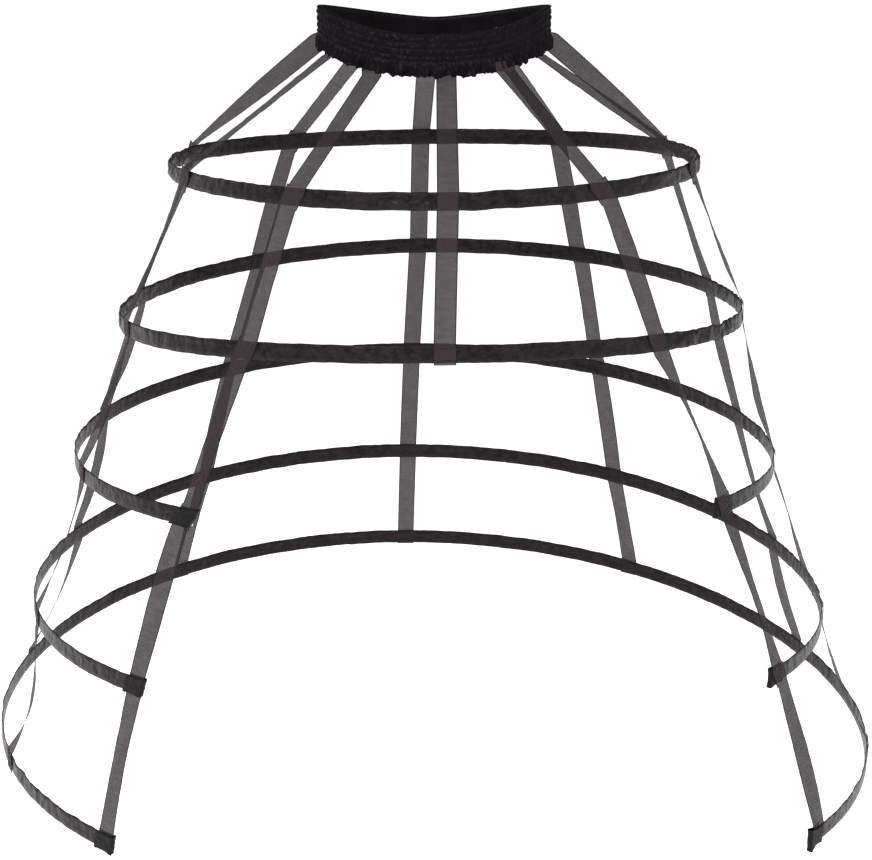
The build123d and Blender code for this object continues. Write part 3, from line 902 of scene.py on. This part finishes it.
# ---- End patches ---------------------------------------------------------------------
# Squares of doubled satin folded round the open ends of the lower casings and stitched
# through. Their raw corners stick out; at four ends they also wrap the strap's edge.
PATCH_LENGTH = STRAP_WIDTH + 0.004
PATCH_HEIGHT = 0.022
PATCH_COLUMNS = 40
PATCH_ROWS = 14
PATCH_FACE = 0.46  # share of a patch's path that lies on either face of the casing
PATCH_BEND = 0.08  # and the share that goes round its end
PATCH_LAY = 0.0003  # clear of the casing
WRAPPED_LAY = 0.0011  # the same where the strap's edge lies between them
# how far each corner is pulled, along the hoop past its end and upwards, in millimetres:
# end top, end bottom, back top, back bottom
PATCH_CORNERS = {
    (3, "left"): ((0.4, 0.3), (-0.4, -0.8), (0, 0.3), (0, -0.3)),
    (4, "left"): ((0.5, 0.6), (-0.3, -1.0), (0, 0.5), (0, -0.5)),
    (5, "left"): ((0.6, 0.6), (0.2, -1.2), (0, 0.8), (1.0, -1.2)),
    (3, "right"): ((-2.5, 0.8), (0.8, -1.8), (0, 0.3), (0, -0.3)),
    (4, "right"): ((1.5, 0.8), (1.5, -1.2), (0, 0.3), (0, -0.3)),
    (5, "right"): ((1.5, 2.5), (-1.5, -6.0), (2.0, 2.0), (3.0, -1.0)),
}


def patch_point(number, side, path, height, skin):
    """A point of a folded patch: path runs from its outer back edge round to its inner one."""
    hoop = HOOPS[number - 1]
    towards = 1 if side == "left" else -1
    first, last = hoop.run()
    end = last if side == "left" else first
    wrapped = (number, side) in WRAPPED_ENDS
    room = WRAPPED_LAY if wrapped else PATCH_LAY
    outside = CASING_THICKNESS / 2 + room + PATCH_CLOTH / 2 + skin
    inside = CASING_THICKNESS / 2 + PATCH_LAY + PATCH_CLOTH / 2 + skin
    middle, bend = (outside - inside) / 2, (outside + inside) / 2
    if path < PATCH_FACE:
        past, out = -PATCH_LENGTH * (1 - path / PATCH_FACE), outside
    elif path > PATCH_FACE + PATCH_BEND:
        past, out = -PATCH_LENGTH * (path - (PATCH_FACE + PATCH_BEND)) / PATCH_FACE, -inside
    else:
        angle = pi * (path - PATCH_FACE) / PATCH_BEND
        past, out = bend * sin(angle) * 0.6, middle + bend * cos(angle)
    level = height * PATCH_HEIGHT / 2
    pulls = PATCH_CORNERS[(number, side)]
    at_end = ease(past, -0.011, 0.0)
    at_back = 1 - ease(past, -PATCH_LENGTH, -PATCH_LENGTH + 0.010)
    at_top, at_bottom = ease(height, 0.1, 1.0), ease(-height, 0.1, 1.0)
    for weight, (along, up) in zip(
        (at_end * at_top, at_end * at_bottom, at_back * at_top, at_back * at_bottom), pulls
    ):
        past += weight * along / 1000
        level += weight * up / 1000
    seed = 90 + number + (5 if side == "left" else 0)
    where = (past / 0.006, level / 0.006, out / 0.01)
    edge = max(abs(height) ** 4, at_back)
    level += 0.0004 * abs(height) ** 3 * rumple((past / 0.004, height, 0), seed)
    past += at_end * 0.0006 * rumple((0, level / 0.003, 0), seed + 1)
    if out > 0:
        out += 0.00035 * (1 + rumple(where, seed)) + 0.0007 * at_end * abs(height) ** 3
    else:
        out -= 0.00025 * (1 + rumple(where, seed))
    out += 0.0002 * edge * rumple((past / 0.003, level / 0.003, 0), seed + 2)
    bearing = end + towards * past / hoop.radius
    if side == "left":
        bearing = leaned(number, hoop, bearing, height)
    return hoop.at(bearing, out, level)


def patch_satin(tree):
    place = tree.node("ShaderNodeTexCoord", {}, {}, "Object")
    crease = tree.grain(place, 260.0, 3.0, 0.55)
    fray = tree.grain(place, 1400.0, 2.0)
    shade = tree.step(crease * 0.7 + fray * 0.3, 0.38, 0.64)
    return {
        "Base Color": tree.tint(shade, (0.0040, 0.0036, 0.0039), (0.0100, 0.0091, 0.0096)),
        "Roughness": tree.step(crease, 0.3, 0.7, 0.44, 0.60),
        "Specular IOR Level": 0.10,
        "Normal": tree.bump(crease * 0.8 + fray * 0.2, 0.0006),
    }


satin_of_patches = finish("patch_satin", patch_satin)
for number, side in PATCH_CORNERS:
    rings = []
    for i in range(PATCH_COLUMNS + 1):
        path = i / PATCH_COLUMNS
        heights = [2 * k / PATCH_ROWS - 1 for k in range(PATCH_ROWS + 1)]
        outer = [patch_point(number, side, path, h, PATCH_CLOTH / 2) for h in heights]
        inner = [patch_point(number, side, path, h, -PATCH_CLOTH / 2) for h in heights]
        rings.append(outer + inner[::-1])
    ring = len(rings[0])
    tall = heights + heights[::-1]
    points, faces, uvs = tube(rings, lambda i, k: (i / PATCH_COLUMNS, tall[k % ring]), False)
    close_ends(faces, uvs, PATCH_COLUMNS, ring, PATCH_ROWS, lambda row, k: (row / PATCH_COLUMNS, tall[k]))
    if side == "left":
        faces, uvs = turned_out(faces, uvs)
    patch = piece(f"end_patch_{number}_{side}", points, faces, uvs, satin_of_patches)
    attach(patch, "root")
    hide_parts(f"hoop_{number}_end_patch_{side}")


# ---- Thread --------------------------------------------------------------------------
# Black polyester thread: five rows of shirring round the band, a row near both edges of
# every casing, inside and out, and two short rows across each strap where it is sewn on.
THREAD_WIDTH = 0.00035
STITCH_LENGTH = 0.0027
STITCH_SPACING = {"band": 0.0034, "casing": 0.0044, "crossing": 0.0032}


def stitcher():
    """A node tree that lays a spindle-shaped stitch at even steps along every line."""
    group = bpy.data.node_groups.new("stitches", "GeometryNodeTree")
    sockets = {}
    group.interface.new_socket(name="Lines", in_out="INPUT", socket_type="NodeSocketGeometry")
    sizes = (("Spacing", 0.004), ("Stitch length", STITCH_LENGTH), ("Thread width", THREAD_WIDTH))
    for name, value in sizes:
        socket = group.interface.new_socket(name=name, in_out="INPUT", socket_type="NodeSocketFloat")
        socket.default_value = value
        sockets[name] = socket.identifier
    socket = group.interface.new_socket(name="Seed", in_out="INPUT", socket_type="NodeSocketInt")
    socket.default_value = 5
    sockets["Seed"] = socket.identifier
    socket = group.interface.new_socket(name="Thread", in_out="INPUT", socket_type="NodeSocketMaterial")
    sockets["Thread"] = socket.identifier
    group.interface.new_socket(name="Stitches", in_out="OUTPUT", socket_type="NodeSocketGeometry")
    tree = Tree(group)
    given = tree.node("NodeGroupInput")
    curve = tree.node("GeometryNodeMeshToCurve", {}, {"Mesh": given})
    steps = {"Curve": curve, "Length": given.part("Spacing")}
    evenly = tree.node("GeometryNodeResampleCurve", {"mode": "LENGTH"}, steps)
    spindle = tree.node("GeometryNodeMeshUVSphere", {}, {"Segments": 5, "Rings": 3, "Radius": 0.5})
    tangent = tree.node("GeometryNodeInputTangent")
    lean = tree.node(
        "FunctionNodeRandomValue", {"data_type": "FLOAT_VECTOR"},
        {0: (-0.09, -0.09, -0.09), 1: (0.09, 0.09, 0.09), "Seed": given.part("Seed")},
    )
    leaning = tree.node("ShaderNodeVectorMath", {"operation": "ADD"}, {0: tangent, 1: lean})
    aim = tree.node("FunctionNodeAlignRotationToVector", {"axis": "Z"}, {"Vector": leaning})
    width = given.part("Thread width")
    size = tree.node("ShaderNodeCombineXYZ", {}, {"X": width, "Y": width, "Z": given.part("Stitch length")})
    laid = tree.node(
        "GeometryNodeInstanceOnPoints", {},
        {"Points": evenly, "Instance": spindle, "Rotation": aim, "Scale": size},
    )
    solid = tree.node("GeometryNodeRealizeInstances", {}, {"Geometry": laid})
    done = tree.node("GeometryNodeSetMaterial", {}, {"Geometry": solid, "Material": given.part("Thread")})
    tree.node("NodeGroupOutput", {}, {"Stitches": done})
    return group, sockets


def thread_twist(tree):
    place = tree.node("ShaderNodeTexCoord", {}, {}, "Object")
    ply = tree.grain(place, 1900.0, 2.0)
    return {
        "Base Color": tree.tint(ply, (0.008, 0.0075, 0.008), (0.022, 0.020, 0.0215)),
        "Roughness": 0.55,
        "Normal": tree.bump(ply, 0.00008),
    }


thread = finish("thread_twist", thread_twist)
stitches, stitch_sockets = stitcher()


def sew(name, lines, spacing, seed):
    """Stitches along lines of points, each line a list of places."""
    points, edges = [], []
    for line in lines:
        start = len(points)
        points += line
        edges += [(start + i, start + i + 1) for i in range(len(line) - 1)]
    mesh = bpy.data.meshes.new(name)
    mesh.from_pydata(points, edges, [])
    made = bpy.data.objects.new(name, mesh)
    bpy.context.scene.collection.objects.link(made)
    modifier = made.modifiers.new("stitches", "NODES")
    modifier.node_group = stitches
    modifier[stitch_sockets["Spacing"]] = spacing
    modifier[stitch_sockets["Stitch length"]] = STITCH_LENGTH
    modifier[stitch_sockets["Thread width"]] = THREAD_WIDTH
    modifier[stitch_sockets["Seed"]] = seed
    modifier[stitch_sockets["Thread"]] = thread
    done = made.evaluated_get(bpy.context.evaluated_depsgraph_get())
    sewn = bpy.data.meshes.new_from_object(done)
    made.modifiers.clear()
    made.data = sewn
    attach(made, "root")
    return made


rows = []
for down in STITCH_ROWS:
    around = [2 * pi * i / 700 for i in range(701)]
    rows.append([on_the_waist(b, gathers(b, down) + 0.0001, down) for b in around])
sew("thread_band", rows, STITCH_SPACING["band"], 1)

SEAM_HEIGHT = 0.86  # of the casing's half height
for number, hoop in enumerate(HOOPS, start=1):
    first, last = hoop.run()
    count = ceil((last - first) * hoop.radius / 0.006)
    rows = []
    for side in (1, -1):
        for height, half in ((SEAM_HEIGHT, 0.00057), (-SEAM_HEIGHT, 0.00132)):
            row = []
            for i in range(count + 1):
                bearing = first + (last - first) * i / count
                out, up, thick = casing_offset(number, hoop, bearing, height)
                reach = half + thick * (1 - height * height) + 0.0001
                leaning = leaned(number, hoop, bearing, height)
                row.append(hoop.at(leaning, out + side * reach, height * CASING_HEIGHT / 2 + up))
            rows.append(row)
    sew(f"thread_casing_{number}", rows, STITCH_SPACING["casing"], 10 + number)

rows = []
for name, (waist, sewn) in STRAPS.items():
    for number, (hoop, crossing) in enumerate(zip(HOOPS, sewn), start=1):
        out = strap_lay(name, number) + STRAP_THICKNESS / 2 + 0.0001
        for level in (0.0085, -0.0085):
            bearing = radians(crossing_at(crossing, level / (CASING_HEIGHT / 2)))
            middle = hoop.at(bearing, out, level)
            along = hoop.along(bearing)
            rows.append([middle + along * (STRAP_WIDTH * (i / 8 - 0.5) * 0.92) for i in range(9)])
sew("thread_crossings", rows, STITCH_SPACING["crossing"], 30)
